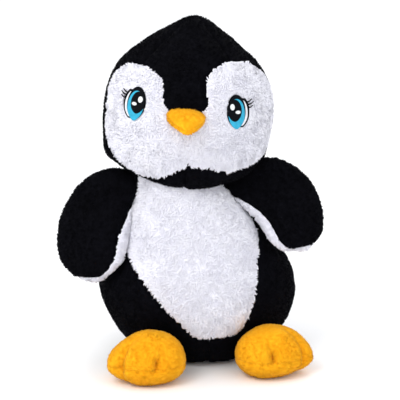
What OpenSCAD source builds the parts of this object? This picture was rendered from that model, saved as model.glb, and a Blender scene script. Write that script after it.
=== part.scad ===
// Plush penguin, seated.
// Millimetres. +Z is up, the face looks along -Y, and the toy sits on Z = 0.
// Sewn panels of plush cover wads of polyester stuffing. The head, the flippers, the feet and the
// tail are sewn on and swing on their seams.

/* [Body] */
// Body width as a share of the sewn pattern's width
body_width_share = 1; // [0.95:0.01:1.03]
// How far the bottom of the body sits to one side of the middle
body_shift = 12; // [0:1:14]
// How far the neck has slumped back across from the bottom of the body
body_slump = 21; // [15:1:23]
// How far the lower body is turned about the upright, in degrees
body_turn = 10; // [6:1:12]
// Depth at which the middle of the body lies behind the middle of the toy
body_back = 13; // [11:1:15]
// Thickness of the plush panels, backing and pile together
skin = 5; // [4:0.5:6]

/* [Head] */
// Height of the point that the head swivels about
neck_height = 200; // [198:1:202]
// Radius of the stuffed neck ball
neck_radius = 58; // [57:0.5:58]
// How far the head has rolled to one side, in degrees
head_roll = 4.5; // [0:0.5:5]
// How far the head is turned to one side, in degrees
head_turn = 2; // [0:0.5:4]
// Height of the middle of the eyes
eye_height = 313; // [311:1:316]
// Distance from the middle of the face to the middle of an eye, in degrees round the head
eye_spread = 37; // [34:1:39]
// Width of the beak
beak_width = 42; // [38:1:44]
// How far the beak stands out from the face
beak_reach = 25; // [20:1:30]

/* [Flippers] */
// Length of a flipper from the shoulder seam to the tip
flipper_length = 106; // [96:1:110]
// Greatest width of a flipper
flipper_width = 60; // [52:1:62]
// Greatest thickness of a flipper
flipper_thickness = 27; // [22:1:29]
// How far the left flipper hangs away from the upright, in degrees
left_hang = 22.5; // [18:0.5:26]
// How far the right flipper hangs away from the upright, in degrees
right_hang = 38.5; // [32:0.5:42]

/* [Feet and tail] */
// Width of a foot
foot_width = 86; // [78:1:88]
// Length of a foot from the ankle seam to the toes
foot_length = 71; // [66:1:74]
// Height of a foot
foot_height = 54; // [46:1:56]
// How far each foot points outwards, in degrees
foot_splay = 12; // [8:1:16]
// Length of the tail
tail_length = 36; // [30:1:38]

/* [Hidden] */

BLACK = [0.03, 0.03, 0.05];
WHITE = [0.9, 0.9, 0.95];
ORANGE = [0.99, 0.7, 0.08];
BLUE = [0.18, 0.75, 0.92];
FILL = [0.95, 0.95, 0.93];

// Space between two panels at a seam, and between a panel and the stuffing
seam_gap = 0.35;
fill_gap = 0.8;
// Space between the neck ball and the hollow in the head
neck_gap = 0.9;
neck = [body_shift - body_slump, 5, neck_height];

// Body pattern: height, half the width, half the depth
BODY = [
    [0.6, 47, 41], [6, 66, 56], [29, 91, 72], [52, 105, 80], [80, 113, 84],
    [105, 110, 83], [130, 99, 77], [155, 86, 69], [178, 74, 62], [192, 65.5, 58],
    [200, 60, 57], [210, 55.9, 55.9]
];
// Head pattern: height, half the width, half the depth
HEAD = [
    [214, 61, 60], [219, 73, 68], [230, 82, 75], [255, 91, 82], [288, 94, 84],
    [320, 90, 81], [343, 78, 72], [364, 56, 55], [381, 34, 35], [393, 16, 17],
    [399, 3, 3]
];
head_low = 214;
head_high = 399;
face_low = 240;
face_high = 350;
face_middle = 295;
crown_seam = 46;
crown_rise = 60;
back_seam = 118;
beak_at = 300;

// ---- Smooth curves and lofted solids ----

function mix(a, b, t) = a + (b - a) * t;

function steepness(table, i, k) =
    let (lo = max(i - 1, 0), hi = min(i + 1, len(table) - 1))
    (table[hi][k] - table[lo][k]) / (table[hi][0] - table[lo][0]);

// The value of column k at x, on a smooth curve through the rows of a table
function along(table, x, k) =
    let (
        last = len(table) - 2,
        below = [for (j = [0 : last]) if (table[j][0] <= x) j],
        i = len(below) == 0 ? 0 : max(below),
        w = table[i + 1][0] - table[i][0],
        t = (x - table[i][0]) / w,
        a = table[i][k],
        b = table[i + 1][k],
        da = steepness(table, i, k) * w,
        db = steepness(table, i + 1, k) * w
    )
    (2 * t ^ 3 - 3 * t ^ 2 + 1) * a + (t ^ 3 - 2 * t ^ 2 + t) * da
    + (3 * t ^ 2 - 2 * t ^ 3) * b + (t ^ 3 - t ^ 2) * db;

function unit(v) = v / norm(v);

// The way out of a shape at (u, v)
function outward(shape, u, v) =
    let (p = shape(u, v))
    unit(cross(shape(u + 0.05, v) - p, shape(u, v + 0.01) - p));

function lifted(shape, u, v, lift) = shape(u, v) + lift * outward(shape, u, v);

// A piece of cloth between two depths of a shape. It runs from row to row between the sides
// start(v) and end(v).
module sewn(shape, from, to, start, end, inner, outer, rows, cols, ease = false) {
    n = cols + 1;
    count = (rows + 1) * n;
    grid = [
        for (lift = [outer, inner], r = [0 : rows], c = [0 : cols])
        let (
            t = r / rows,
            v = mix(from, to, ease ? sin(90 * t) : t),
            u = mix(start(v), end(v), c / cols)
        )
        lifted(shape, u, v, lift)
    ];
    walls = [
        for (r = [0 : rows - 1], c = [0 : cols - 1])
        let (i = r * n + c)
        each [
            [i, i + n, i + n + 1], [i, i + n + 1, i + 1],
            [count + i, count + i + n + 1, count + i + n], [count + i, count + i + 1, count + i + n + 1]
        ]
    ];
    sides = [
        for (r = [0 : rows - 1], c = [0, cols])
        let (i = r * n + c, j = i + n)
        each (c == 0
            ? [[i, count + i, count + j], [i, count + j, j]]
            : [[i, count + j, count + i], [i, j, count + j]])
    ];
    ends = [
        for (c = [0 : cols - 1], r = [0, rows])
        let (i = r * n + c, j = i + 1)
        each (r == 0
            ? [[i, count + j, count + i], [i, j, count + j]]
            : [[i, count + i, count + j], [i, count + j, j]])
    ];
    polyhedron(points = grid, faces = concat(walls, sides, ends), convexity = 6);
}

// A closed wad: rings of a shape stacked from row to row, with flat ends
module wad(shape, from, to, depth, rows, cols, ease = false) {
    grid = [
        for (r = [0 : rows], c = [0 : cols - 1])
        let (t = r / rows, v = mix(from, to, ease ? sin(90 * t) : t))
        lifted(shape, 360 * c / cols, v, -depth)
    ];
    walls = [
        for (r = [0 : rows - 1], c = [0 : cols - 1])
        let (i = r * cols + c, j = r * cols + (c + 1) % cols)
        each [[i, i + cols, j + cols], [i, j + cols, j]]
    ];
    bottom = [[for (c = [0 : cols - 1]) c]];
    top = [[for (c = [cols - 1 : -1 : 0]) rows * cols + c]];
    polyhedron(points = grid, faces = concat(walls, bottom, top), convexity = 4);
}

// ---- Body ----

function bump(x, middle, reach) = exp(-((x - middle) / reach) ^ 2);

// The hollows that the feet press into the front of the body
function foot_hollow(u, z) =
    1 - 0.17 * (bump(u, 42, 22) + bump(u, -42, 22)) * bump(z, 26, 26);

function body_middle(z) = body_shift - body_slump * (z / neck_height) ^ 2;

function body_yaw(z) = body_turn * (1 - z / 150);

// The bottom of the body curves back to the base, which lies behind the middle of the body
base_back = 9;
base_rise = 30;
base_y = body_back + base_back;

function body_depth(z) =
    mix(body_back, neck[1], min(1, z / neck_height)) + base_back * max(0, 1 - z / base_rise) ^ 2;

// A point of the body, u degrees round from the front and z up
body_shape = function (u, z)
    let (
        yaw = body_yaw(z),
        hollow = foot_hollow(u > 180 ? u - 360 : u, z),
        x = along(BODY, z, 1) * body_width_share * hollow * sin(u),
        y = -along(BODY, z, 2) * hollow * cos(u)
    )
    [
        body_middle(z) + x * cos(yaw) - y * sin(yaw),
        body_depth(z) + x * sin(yaw) + y * cos(yaw),
        z
    ];

body_low = 0.6;
body_high = 210;
belly_low = 45;
// How far inside its opening the belly panel's edge lies, in degrees
belly_inset = 2.4;
// Belly pattern: height, half the angle that it covers
BELLY = [
    [45, 10], [54, 18], [80, 26], [115, 37], [140, 50], [160, 65], [176, 68], [195, 65], [210, 63]
];

function belly_edge(z) = z < belly_low ? 0 : along(BELLY, z, 1);

function gap_angle(r) = seam_gap / r * 57.3;

module body_front(side) {
    g = gap_angle(70);
    sewn(
        body_shape, body_low, body_high,
        function (z) side > 0 ? belly_edge(z) + g : -90 + g,
        function (z) side > 0 ? 90 - g : -belly_edge(z) - g,
        -skin, 0, 14, 8
    );
}

module body_back(side) {
    g = gap_angle(70);
    sewn(
        body_shape, body_low, body_high,
        function (z) side > 0 ? 90 + g : 180 + g,
        function (z) side > 0 ? 180 - g : 270 - g,
        -skin, 0, 13, 8
    );
}

module body_stuffing() {
    color(FILL)
    wad(body_shape, 17, neck_height - 5, skin + 2 * fill_gap, 10, 24);
}

module belly_panel() {
    color(WHITE)
    sewn(
        body_shape, belly_low + 3, body_high,
        function (z) -belly_edge(z) + belly_inset,
        function (z) belly_edge(z) - belly_inset,
        -skin, 0, 13, 12
    );
}

module body_front_left() {
    color(BLACK) body_front(-1);
}

module body_front_right() {
    color(BLACK) body_front(1);
}

module body_back_left() {
    color(BLACK) body_back(-1);
}

module body_back_right() {
    color(BLACK) body_back(1);
}

// The flat oval that the toy sits on
module base_panel() {
    rim = 36;
    half_width = 40;
    half_depth = 34;
    color(BLACK)
    translate([body_middle(0), base_y, 0])
    rotate([0, 0, body_turn])
    linear_extrude(height = skin)
    polygon([
        for (i = [0 : rim - 1]) [half_width * sin(360 * i / rim), half_depth * cos(360 * i / rim)]
    ]);
}

// A short ladder of thread where the back was closed by hand after filling
module back_closing_stitches() {
    stitches = 7;
    pitch = 8;
    color(BLACK)
    for (i = [0 : stitches - 1]) {
        z = 92 + i * pitch;
        p = lifted(body_shape, 180, z, 0.9);
        q = lifted(body_shape, 180, z + 0.5, 0.9);
        translate(p)
        rotate([0, 0, body_yaw(z)])
        rotate([90 - atan2(q[2] - p[2], q[1] - p[1]) + 90, 0, 0])
        rotate([0, 90, 0])
        cylinder(h = 6, d = 1, center = true, $fn = 16);
    }
}

// A blank folded care label in the seam under the back
label_gap = 2.2;
label_turn = 50;
label_thickness = 0.9;
label_width = 26;
label_height = 20;
module care_label() {
    p = body_shape(180, 66);
    color(WHITE)
    translate([p[0], p[1] + label_gap, p[2] - label_height / 2])
    rotate([0, 0, body_turn + label_turn])
    cube([label_thickness, label_width, label_height]);
}

// ---- Neck ----

// The ball of fibre under the head, the cap over it, and the room between them
neck_ball = 38;
neck_cap = 30;
neck_play = 1;
neck_block = 120;
module neck_stuffing_lower() {
    color(FILL)
    translate(neck)
    intersection() {
        sphere(r = neck_ball, $fn = 64);
        translate([-neck_block / 2, -neck_block / 2, fill_gap]) cube(neck_block);
    }
}

module neck_stuffing_upper() {
    color(FILL)
    translate(neck)
    difference() {
        intersection() {
            sphere(r = neck_radius - neck_play, $fn = 64);
            translate([-neck_block / 2, -neck_block / 2, neck_cap]) cube(neck_block);
        }
        sphere(r = neck_ball + neck_play, $fn = 64);
    }
}

// ---- Head ----

// A point of the head as sewn, before it rolls and turns
head_shape = function (u, z)
    [
        along(HEAD, z, 1) * sin(u),
        -along(HEAD, z, 2) * cos(u) - 2,
        z + 11 * (sin(u) ^ 2) * max(0, 1 - (z - head_low) / 30) - neck_height
    ];

module in_head() {
    translate(neck) rotate([0, head_roll, head_turn]) children();
}

function lobe(z) = (1 - min(1, abs(z - face_middle) / crown_rise) ^ 3) ^ (1 / 3);

function face_outer(z) =
    z > face_middle + crown_rise ? crown_seam : crown_seam + 32 * lobe(max(z, face_low));

function face_inner(z) =
    z > face_middle + crown_rise ? crown_seam
    : z < beak_at - 4 ? 0.4
    : z > beak_at + 6 ? crown_seam - 31.5 * lobe(z)
    : mix(0.4, crown_seam - 31.5 * lobe(z), (z - beak_at + 4) / 10);

module face_panel(side) {
    color(WHITE)
    in_head()
    sewn(
        head_shape, face_low + 0.4, face_high,
        function (z) side > 0 ? face_inner(z) + 0.8 : -face_outer(z) + 0.9,
        function (z) side > 0 ? face_outer(z) - 0.9 : -face_inner(z) - 0.8,
        -skin, 0, 14, 8
    );
}

module chin_panel(side) {
    edge = face_outer(face_low);
    color(BLACK)
    in_head()
    sewn(
        head_shape, head_low, face_low - 0.4,
        function (z) side > 0 ? 0.3 : -edge + 0.5,
        function (z) side > 0 ? edge - 0.5 : -0.3,
        -skin, 0, 5, 8
    );
}

module head_side(side) {
    color(BLACK)
    in_head()
    sewn(
        head_shape, head_low, head_high,
        function (z) side > 0 ? face_outer(z) + 1 : -back_seam + 0.4,
        function (z) side > 0 ? back_seam - 0.4 : -face_outer(z) - 1,
        -skin, 0, 16, 6, true
    );
}

module head_back(side) {
    color(BLACK)
    in_head()
    sewn(
        head_shape, head_low, head_high,
        function (z) side > 0 ? back_seam + 0.4 : 180.4,
        function (z) side > 0 ? 179.6 : 360 - back_seam - 0.4,
        -skin, 0, 14, 6, true
    );
}

module forehead_panel() {
    color(BLACK)
    in_head()
    sewn(
        head_shape, beak_at + 7, head_high,
        function (z) -face_inner(z) + 1.3,
        function (z) face_inner(z) - 1.3,
        -skin, 0, 14, 9, true
    );
}

// The head's filling, from its lowest row to its highest
head_fill_low = 234;
head_fill_high = head_high - 5;
head_fill_in = skin + fill_gap + 0.6;
module head_stuffing() {
    color(FILL)
    difference() {
        in_head() wad(head_shape, head_fill_low, head_fill_high, head_fill_in, 11, 24, true);
        translate(neck) sphere(r = neck_radius + neck_gap, $fn = 64);
    }
}

module face_panel_left() {
    face_panel(-1);
}

module face_panel_right() {
    face_panel(1);
}

module chin_panel_left() {
    chin_panel(-1);
}

module chin_panel_right() {
    chin_panel(1);
}

module head_side_left() {
    head_side(-1);
}

module head_side_right() {
    head_side(1);
}

module head_back_left() {
    head_back(-1);
}

module head_back_right() {
    head_back(1);
}

// ---- Beak ----

// Beak pattern: share of the reach, half the width, half the height
BEAK = [[0, 1, 13.5], [0.35, 0.93, 12.5], [0.7, 0.66, 9.5], [0.92, 0.36, 5.5], [1, 0.14, 2]];
beak_skin_depth = 2.5;
beak_root = 83.4;
beak_drop = 9;

// A point of the beak: u degrees round from its right side, t along it
beak_shape = function (u, t)
    [
        along(BEAK, t, 1) * beak_width / 2 * cos(u),
        -beak_root - t * beak_reach - 3,
        along(BEAK, t, 2) * sin(u) + beak_at - neck_height - beak_drop * t ^ 2
    ];

module beak_skin(turn) {
    color(ORANGE)
    in_head()
    sewn(
        beak_shape, 0, 1,
        function (t) turn + 1,
        function (t) turn + 179,
        -beak_skin_depth, 0, 7, 10
    );
}

module beak_upper() {
    beak_skin(0);
}

module beak_lower() {
    beak_skin(180);
}

module beak_stuffing() {
    color(FILL)
    in_head()
    wad(beak_shape, 0.02, 0.86, 3.2, 6, 16);
}

// ---- Embroidered eyes ----

// One layer of embroidery: an oval on the face, lifted off the pile
module satin(side, du, dz, half_angle, half_height, layer) {
    lift = 0.3 + layer * 0.55;
    u0 = side * (eye_spread + du);
    z0 = eye_height + dz;
    in_head()
    sewn(
        head_shape, z0 - half_height * 0.96, z0 + half_height * 0.96,
        function (z) u0 - half_angle * sqrt(1 - ((z - z0) / half_height) ^ 2),
        function (z) u0 + half_angle * sqrt(1 - ((z - z0) / half_height) ^ 2),
        lift, lift + 0.4, 7, 4
    );
}

module eye_outline(side) {
    color(BLACK) satin(side, 0, 0, 8.6, 18.5, 0);
}

module eye_white(side) {
    color(WHITE) satin(side, 0, -1, 7.8, 16.5, 1);
}

module eye_iris(side) {
    color(BLUE) satin(side, -0.4, 0, 6.6, 14.5, 2);
}

module eye_pupil(side) {
    color(BLACK) satin(side, -1.6, 0.5, 4.8, 11, 3);
}

module eye_highlights(side) {
    color("white") {
        satin(side, -2.6, 4.5, 2, 3.4, 4);
        satin(side, 0.4, -3.6, 1.3, 2, 4);
    }
}

// Three short curved lashes at the upper outer corner
module eyelashes(side) {
    lashes = 3;
    color(BLACK)
    in_head()
    for (i = [0 : lashes - 1]) {
        z0 = eye_height + 7.5 + 4.2 * i;
        reach = 5 - 0.7 * i;
        near = 8.2 - 1.3 * i;
        sewn(
            head_shape, z0, z0 + 5,
            function (z) side * (eye_spread + near + 1) + side * reach * ((z - z0) / 5) ^ 1.4 - 0.45,
            function (z) side * (eye_spread + near + 1) + side * reach * ((z - z0) / 5) ^ 1.4 + 0.45,
            0.3, 0.8, 3, 1
        );
    }
}

module eye_outline_left() {
    eye_outline(-1);
}

module eye_outline_right() {
    eye_outline(1);
}

module eye_white_left() {
    eye_white(-1);
}

module eye_white_right() {
    eye_white(1);
}

module eye_iris_left() {
    eye_iris(-1);
}

module eye_iris_right() {
    eye_iris(1);
}

module eye_pupil_left() {
    eye_pupil(-1);
}

module eye_pupil_right() {
    eye_pupil(1);
}

module eye_highlights_left() {
    eye_highlights(-1);
}

module eye_highlights_right() {
    eye_highlights(1);
}

module eyelashes_left() {
    eyelashes(-1);
}

module eyelashes_right() {
    eyelashes(1);
}

// ---- Flippers ----

// Flipper pattern: share of the length, half the width, half the thickness, as shares
FLIPPER = [
    [0, 0.2, 0.35], [0.05, 0.42, 0.62], [0.18, 0.66, 0.86], [0.42, 0.95, 1], [0.66, 1, 1],
    [0.86, 0.82, 0.85], [0.96, 0.5, 0.55], [1, 0.14, 0.18]
];
flipper_bulge = 19;
flipper_start = -14;
flipper_twist = 33;
flipper_swing = 15;
shoulder_out = 78;
shoulder_y = -14;
shoulder_z = 194;

// A point of a hanging flipper: u degrees round its section, t down its length. It hangs along
// -Z from the shoulder, with its dark side towards -Y.
flipper_shape = function (u, t)
    [
        along(FLIPPER, t, 1) * flipper_width / 2 * cos(u) + flipper_bulge * max(0, sin(180 * t)) ^ 1.2,
        -along(FLIPPER, t, 2) * flipper_thickness / 2 * sin(u),
        -flipper_start - t * (flipper_length - flipper_start)
    ];

module at_shoulder(side) {
    translate([neck[0] + side * shoulder_out, shoulder_y, shoulder_z])
    mirror([side < 0 ? 1 : 0, 0, 0])
    rotate([0, side < 0 ? -left_hang : -right_hang, 0])
    rotate([-flipper_swing, 0, 0])
    rotate([0, 0, flipper_twist])
    children();
}

module flipper_skin(side, turn) {
    at_shoulder(side)
    sewn(
        flipper_shape, 0, 1,
        function (t) turn + 1.5,
        function (t) turn + 178.5,
        -4, 0, 11, 8
    );
}

module flipper_stuffing(side) {
    color(FILL)
    at_shoulder(side)
    wad(flipper_shape, 0.1, 0.9, 4 + fill_gap, 8, 14);
}

module flipper_outer_left() {
    color(BLACK) flipper_skin(-1, 0);
}

module flipper_outer_right() {
    color(BLACK) flipper_skin(1, 0);
}

module flipper_inner_left() {
    color(WHITE) flipper_skin(-1, 180);
}

module flipper_inner_right() {
    color(WHITE) flipper_skin(1, 180);
}

module flipper_stuffing_left() {
    flipper_stuffing(-1);
}

module flipper_stuffing_right() {
    flipper_stuffing(1);
}

// ---- Feet ----

// Foot pattern: share of the length, half the width, height, as shares
FOOT = [
    [0, 0.3, 0.28], [0.08, 0.5, 0.46], [0.3, 0.84, 0.86], [0.55, 1, 1], [0.78, 0.97, 0.9],
    [0.92, 0.78, 0.66], [1, 0.4, 0.3]
];
foot_skin = 4;
foot_out = 63.5;
foot_shift = -5;
ankle_front = -55;
sole = 5;

// A point of a foot's upper: u degrees over from its right side, t along it
foot_shape = function (u, t)
    [
        along(FOOT, t, 1) * foot_width / 2 * cos(u),
        -t * foot_length,
        sole + 0.3 + along(FOOT, t, 2) * (foot_height - sole) * max(0, sin(u)) ^ 0.8
    ];

// The frame that the feet and the tail are sewn on in: the lower body's own
module on_body() {
    translate([body_middle(0), body_back, 0]) rotate([0, 0, body_turn]) children();
}

module at_ankle(side) {
    on_body()
    translate([side * foot_out + foot_shift, ankle_front, 0])
    rotate([0, 0, side * foot_splay])
    children();
}

module foot_top(side) {
    color(ORANGE)
    at_ankle(side)
    sewn(
        foot_shape, 0, 1,
        function (t) 1,
        function (t) 179,
        -foot_skin, 0, 10, 10
    );
}

module foot_sole(side) {
    steps = 12;
    right = [for (i = [0 : steps]) [along(FOOT, i / steps, 1) * foot_width / 2, -foot_length * i / steps]];
    left = [for (i = [steps : -1 : 0]) [-right[i][0], right[i][1]]];
    color(ORANGE)
    at_ankle(side)
    linear_extrude(height = sole)
    polygon(concat(right, left));
}

// The filling of a foot, nearly flat underneath
fill_under = 3;
fill_side = 8;
fill_over = 14;
foot_fill = function (u, t)
    let (top = along(FOOT, t, 2) * (foot_height - sole) - fill_over)
    [
        (along(FOOT, t, 1) * foot_width / 2 - fill_side) * cos(u),
        -t * foot_length,
        sole + fill_gap + fill_under + (sin(u) > 0 ? top : fill_under) * sin(u)
    ];

module foot_stuffing(side) {
    color(FILL)
    at_ankle(side)
    wad(foot_fill, 0.16, 0.76, 0, 6, 16);
}

// Two threads pulled round the front of the foot, which part it into three toes
thread = 1.2;
toe_share = 0.13;
stitch_out = 1.2;
module toe_stitches(side) {
    color(ORANGE)
    at_ankle(side)
    for (turn = [-1, 1])
        translate([turn * toe_share * foot_width, -foot_length - stitch_out, sole + 1])
        cylinder(h = 12, d = thread, $fn = 16);
}

module foot_top_left() {
    foot_top(-1);
}

module foot_top_right() {
    foot_top(1);
}

module foot_sole_left() {
    foot_sole(-1);
}

module foot_sole_right() {
    foot_sole(1);
}

module foot_stuffing_left() {
    foot_stuffing(-1);
}

module foot_stuffing_right() {
    foot_stuffing(1);
}

module toe_stitches_left() {
    toe_stitches(-1);
}

module toe_stitches_right() {
    toe_stitches(1);
}

// ---- Tail ----

// Tail pattern: share of the length, half the width, half the thickness
TAIL = [[0, 13, 6.5], [0.15, 18, 9.5], [0.45, 20, 9], [0.75, 14, 6.5], [0.94, 8, 4.5], [1, 4.5, 3.4]];
tail_root = 79;
tail_height = 34;
tail_tilt = 22;

tail_shape = function (u, t)
    [along(TAIL, t, 1) * cos(u), -t * tail_length, along(TAIL, t, 2) * sin(u)];

// The filling of the tail, inside its two skins
tail_fill_in = 4.2;
tail_fill_under = 4;
tail_fill = function (u, t)
    [
        (along(TAIL, t, 1) - tail_fill_in) * cos(u),
        -t * tail_length,
        (along(TAIL, t, 2) - tail_fill_under) * sin(u)
    ];

module at_tail() {
    on_body()
    translate([0, tail_root, tail_height])
    rotate([-tail_tilt, 0, 180])
    children();
}

module tail_skin(turn) {
    color(BLACK)
    at_tail()
    sewn(
        tail_shape, 0, 1,
        function (t) turn + 4,
        function (t) turn + 176,
        -3, 0, 7, 8
    );
}

module tail_upper() {
    tail_skin(0);
}

module tail_lower() {
    tail_skin(180);
}

module tail_stuffing() {
    color(FILL)
    at_tail()
    wad(tail_fill, 0.12, 0.8, 0, 5, 12);
}

body_stuffing();
belly_panel();
body_front_left();
body_front_right();
body_back_left();
body_back_right();
base_panel();
back_closing_stitches();
care_label();
neck_stuffing_lower();
neck_stuffing_upper();
head_stuffing();
forehead_panel();
face_panel_left();
face_panel_right();
chin_panel_left();
chin_panel_right();
head_side_left();
head_side_right();
head_back_left();
head_back_right();
beak_upper();
beak_lower();
beak_stuffing();
eye_outline_left();
eye_outline_right();
eye_white_left();
eye_white_right();
eye_iris_left();
eye_iris_right();
eye_pupil_left();
eye_pupil_right();
eye_highlights_left();
eye_highlights_right();
eyelashes_left();
eyelashes_right();
flipper_outer_left();
flipper_outer_right();
flipper_inner_left();
flipper_inner_right();
flipper_stuffing_left();
flipper_stuffing_right();
foot_top_left();
foot_top_right();
foot_sole_left();
foot_sole_right();
foot_stuffing_left();
foot_stuffing_right();
toe_stitches_left();
toe_stitches_right();
tail_upper();
tail_lower();
tail_stuffing();
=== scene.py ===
# %% [markdown]
# # A sewn plush penguin
# A soft toy is a set of flat cloth panels, sewn edge to edge and stuffed. So this script never
# starts from a ball or a box: it lofts each form from its sewing pattern, finds where the seams
# run on it, cuts it into panels there, and then grows the pile on every panel.
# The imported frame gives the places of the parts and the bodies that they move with.

# %% Load the frame and the tools
import math

import bpy
import numpy as np
from mathutils import Matrix, Vector, noise
from mathutils.bvhtree import BVHTree
from mathutils.kdtree import KDTree


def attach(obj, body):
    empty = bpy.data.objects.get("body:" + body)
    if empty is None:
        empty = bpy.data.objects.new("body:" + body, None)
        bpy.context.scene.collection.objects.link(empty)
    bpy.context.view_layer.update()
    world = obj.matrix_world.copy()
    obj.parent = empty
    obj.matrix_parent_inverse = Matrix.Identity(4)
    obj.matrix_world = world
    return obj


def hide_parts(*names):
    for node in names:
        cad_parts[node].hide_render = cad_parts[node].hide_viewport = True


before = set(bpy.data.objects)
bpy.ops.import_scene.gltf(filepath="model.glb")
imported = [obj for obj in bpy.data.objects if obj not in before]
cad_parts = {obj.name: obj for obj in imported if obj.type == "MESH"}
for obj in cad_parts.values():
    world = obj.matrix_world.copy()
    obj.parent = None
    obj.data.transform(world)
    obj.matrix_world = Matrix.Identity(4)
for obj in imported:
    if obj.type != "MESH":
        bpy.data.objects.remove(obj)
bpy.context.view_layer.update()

MM = 0.001

# %% [markdown]
# ## Camera, floor and light
# The toy stands on a plain pale floor that runs out to a white background. One large soft light
# high on the left shapes the pile, a weaker one on the right fills the shadows, and the white
# surroundings do the rest. The lens is long, so the proportions stay true.

# %% Stage
CAMERA_DROP = math.radians(13.5)
CAMERA_FAR = 2.0
FRAME_WIDTH = 0.458
AIM = Vector((0.0113, 0, 0.1866))


def stage():
    """The floor, the lights, the white surroundings and the camera."""
    size = 12.0
    floor_mesh = bpy.data.meshes.new("floor")
    corners = [(-size, -size, 0), (size, -size, 0), (size, size, 0), (-size, size, 0)]
    floor_mesh.from_pydata(corners, [], [(0, 1, 2, 3)])
    paper = bpy.data.materials.new("pale_paper")
    paper.use_nodes = True
    shader = next(n for n in paper.node_tree.nodes if n.type == "BSDF_PRINCIPLED")
    shader.inputs["Base Color"].default_value = (0.97, 0.97, 0.97, 1)
    shader.inputs["Roughness"].default_value = 1.0
    shader.inputs["Specular IOR Level"].default_value = 0.0
    floor_mesh.materials.append(paper)
    floor = bpy.data.objects.new("floor", floor_mesh)
    bpy.context.collection.objects.link(floor)
    lamps = [
        ("key", (-0.9, -1.3, 1.7), 1.0, 16, (1.0, 0.99, 0.97)),
        ("fill", (1.4, -1.4, 0.9), 1.2, 1.5, (0.95, 0.97, 1.0)),
        ("rim", (0.5, 1.4, 1.5), 1.0, 6, (1.0, 1.0, 1.0)),
    ]
    for name, place, width, power, tint in lamps:
        lamp = bpy.data.lights.new(name, "AREA")
        lamp.size = width
        lamp.energy = power
        lamp.color = tint
        holder = bpy.data.objects.new(name, lamp)
        holder.location = place
        aim = Vector((0, 0, 0.18)) - Vector(place)
        holder.rotation_euler = aim.to_track_quat("-Z", "Y").to_euler()
        bpy.context.collection.objects.link(holder)
    camera = bpy.data.cameras.new("camera")
    camera.sensor_width = 36
    camera.lens = camera.sensor_width * CAMERA_FAR / FRAME_WIDTH
    camera.clip_end = 50
    eye = bpy.data.objects.new("camera", camera)
    back = Vector((0, -math.cos(CAMERA_DROP), math.sin(CAMERA_DROP)))
    eye.location = AIM + CAMERA_FAR * back
    eye.rotation_euler = (-back).to_track_quat("-Z", "Y").to_euler()
    bpy.context.collection.objects.link(eye)
    bpy.context.scene.camera = eye
    world = bpy.data.worlds.new("surroundings")
    world.use_nodes = True
    sky = next(n for n in world.node_tree.nodes if n.type == "BACKGROUND")
    sky.inputs["Color"].default_value = (0.97, 0.98, 1.0, 1)
    sky.inputs["Strength"].default_value = 1.12
    bpy.context.scene.world = world
    bpy.context.scene.view_settings.view_transform = "Standard"
    return floor


floor = stage()
print("camera at", [round(c, 3) for c in bpy.context.scene.camera.location])

# %% [markdown]
# ## Shader maths as plain expressions
# A material is a small graph of nodes. The class below wraps one output socket, so that
# `mask * 0.5 - 0.1` writes the Math nodes for itself. Any other node comes from `node`, which takes
# the node's type, its settings, and then the values or links of its sockets.

# %% The socket class


class Wire:
    """One socket of a shader graph, which can be used in an expression."""

    def __init__(self, tree, socket):
        self.tree = tree
        self.socket = socket

    def node(self, kind, settings=None, out=0, **inputs):
        """Adds a node and gives its output. A key such as in_3 names a socket by number."""
        made = self.tree.nodes.new(kind)
        for key, value in (settings or {}).items():
            setattr(made, key, value)
        for key, value in inputs.items():
            slot = int(key[3:]) if key.startswith("in_") else key.replace("_", " ")
            socket = made.inputs[slot]
            if isinstance(value, Wire):
                self.tree.links.new(value.socket, socket)
            else:
                socket.default_value = value
        return Wire(self.tree, made.outputs[out])

    def maths(self, operation, other):
        return self.node("ShaderNodeMath", {"operation": operation}, in_0=self, in_1=other)

    def __add__(self, other):
        return self.maths("ADD", other)

    __radd__ = __add__

    def __sub__(self, other):
        return self.maths("SUBTRACT", other)

    def __mul__(self, other):
        return self.maths("MULTIPLY", other)

    __rmul__ = __mul__


def new_material(name, roughness, sheen=0.0, specular=0.3):
    """A material with its constants set. Gives the start of its graph and a way to finish it."""
    material = bpy.data.materials.new(name)
    material.use_nodes = True
    tree = material.node_tree
    shader = next(n for n in tree.nodes if n.type == "BSDF_PRINCIPLED")
    shader.inputs["Roughness"].default_value = roughness
    shader.inputs["Specular IOR Level"].default_value = specular
    shader.inputs["Sheen Weight"].default_value = sheen
    shader.inputs["Sheen Roughness"].default_value = 0.4
    start = Wire(tree, None)

    def feed(**links):
        for key, wire in links.items():
            tree.links.new(wire.socket, shader.inputs[key.replace("_", " ")])

    return material, start, feed


def blend_colours(start, share, dark, light):
    """A colour between two, by a share from 0 to 1."""
    settings = {"data_type": "RGBA"}
    return start.node("ShaderNodeMix", settings, out=2, in_0=share, in_6=dark, in_7=light)


# %% [markdown]
# ## Plush
# Plush is a knitted backing with a pile of fine fibres. From a hand's width away the eye sees
# three things: the fibres themselves, the locks that they gather into, and each patch where the
# pile lies another way and catches the light. The colour below paints the light and shade of the
# last two: a painted shade, darker between the locks, and a painted sheen, lighter where a patch
# catches the light. The locks planted later are the first.

# %% Plush materials


# The colour runs from dark, a painted shade between the locks, to light, a painted sheen where a
# patch catches the light
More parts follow.
